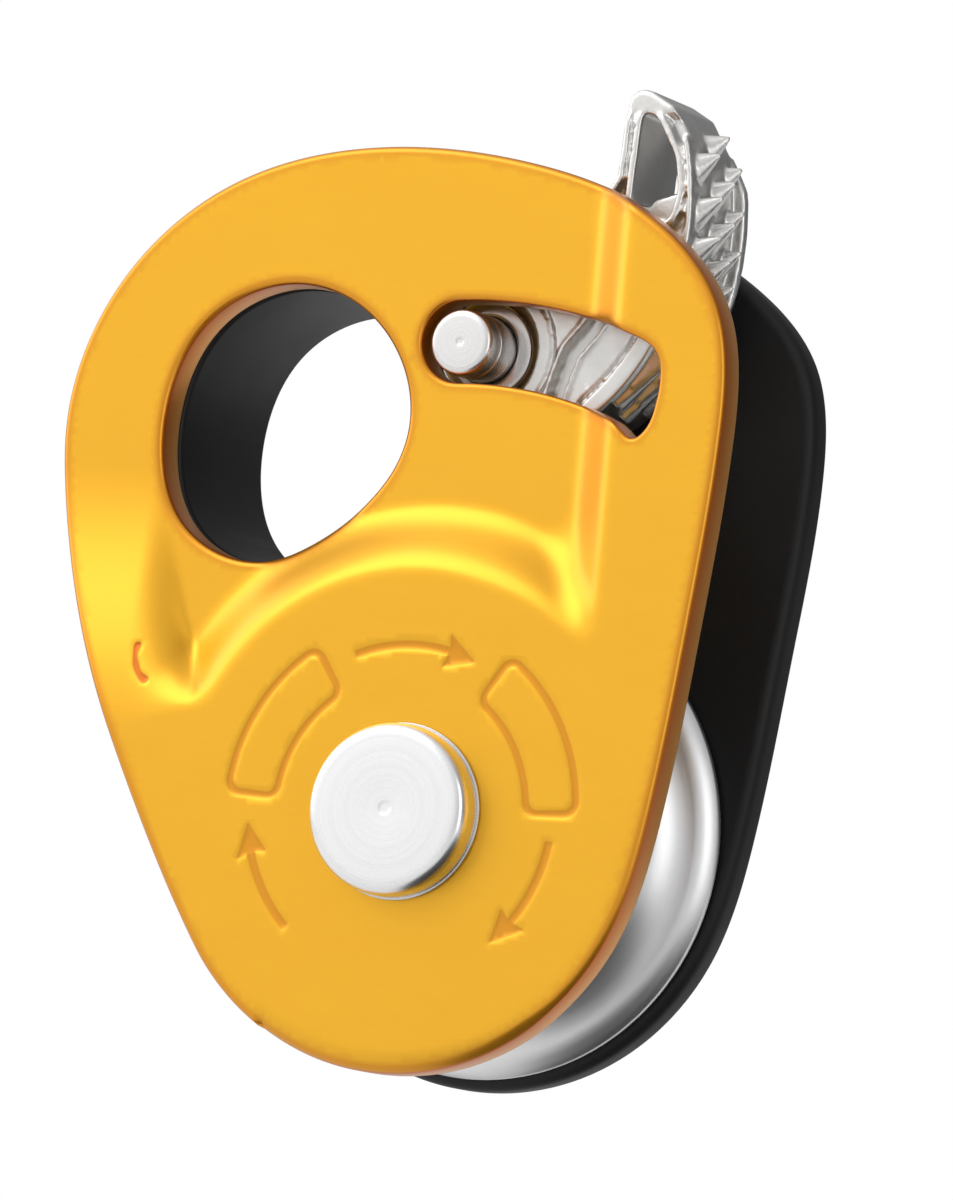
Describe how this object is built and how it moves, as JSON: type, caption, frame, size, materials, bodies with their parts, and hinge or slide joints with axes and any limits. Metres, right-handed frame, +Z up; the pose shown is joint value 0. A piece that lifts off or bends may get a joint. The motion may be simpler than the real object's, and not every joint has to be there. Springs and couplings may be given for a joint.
{
  "type": "rope pulley",
  "caption": "Progress-capture rope pulley: swinging side plate, grooved sheave on a ball bearing, and a toothed cam that grips the rope.",
  "frame": {"origin": "on the sheave's axle, at the middle of the rope groove's width", "axes": "+Z up towards the attachment hole, +X to the right seen from the swing plate, +Y from the swing plate to the fixed plate along the axle"},
  "size_m": [0.0551, 0.0232, 0.0743],
  "materials": {
    "black_plate": "matte black anodised, slightly lighter worn edges",
    "gold_plate": "gold anodised, satin, fine straight grain",
    "sheave_metal": "polished, faint turning marks in the groove",
    "turned_steel": "bright turned steel",
    "cast_steel": "satin investment casting",
    "bronze": "sintered bronze",
    "bearing_steel": "ground bright",
    "cage_plastic": "moulded nylon",
    "spring_steel": "drawn wire"
  },
  "bodies": {
    "frame": {"fixed_side_plate": "black_plate", "axle": "turned_steel", "head_washer": "turned_steel", "front_spacer": "turned_steel", "rear_spacer": "turned_steel", "bearing_inner_ring": "bearing_steel", "cam_axle": "turned_steel", "cam_washer": "cage_plastic", "cam_spring": "spring_steel", "cam_stop_pin": "turned_steel", "button_spring": "spring_steel"},
    "swing_plate": {"swing_side_plate": "gold_plate", "plate_bush": "bronze"},
    "wheel": {"sheave": "sheave_metal", "bearing_outer_ring": "bearing_steel", "bearing_front_shield": "bearing_steel", "bearing_rear_shield": "bearing_steel"},
    "ball_set": {"bearing_cage": "cage_plastic", "bearing_balls": "bearing_steel"},
    "cam": {"cam": "cast_steel", "cam_bush": "bronze"},
    "button": {"lock_button": "turned_steel", "button_clip": "spring_steel"}
  },
  "joints": [
    {"name": "plate_swing", "type": "hinge", "parent": "frame", "child": "swing_plate", "pos_m": [0, 0, 0], "axis": [0, -1, 0], "range_deg": [0, 110]},
    {"name": "sheave_spin", "type": "hinge", "parent": "frame", "child": "wheel", "pos_m": [0, 0, 0], "axis": [0, 1, 0], "continuous": true},
    {"name": "ball_set_spin", "type": "hinge", "parent": "frame", "child": "ball_set", "pos_m": [0, 0, 0], "axis": [0, 1, 0], "continuous": true},
    {"name": "cam_turn", "type": "hinge", "parent": "frame", "child": "cam", "pos_m": [0, 0, 0.0353], "axis": [0, 1, 0], "range_deg": [0, 90], "deforming": ["cam_spring"]},
    {"name": "button_press", "type": "slide", "parent": "frame", "child": "button", "axis": [0, 1, 0], "range_m": [0, 0.0015], "stiffness_N_per_m": 600, "springref_m": -0.001, "deforming": ["button_spring"]}
  ],
  "couplings": [
    {"joint": "ball_set_spin", "follows": "sheave_spin", "ratio": 0.6111}
  ]
}
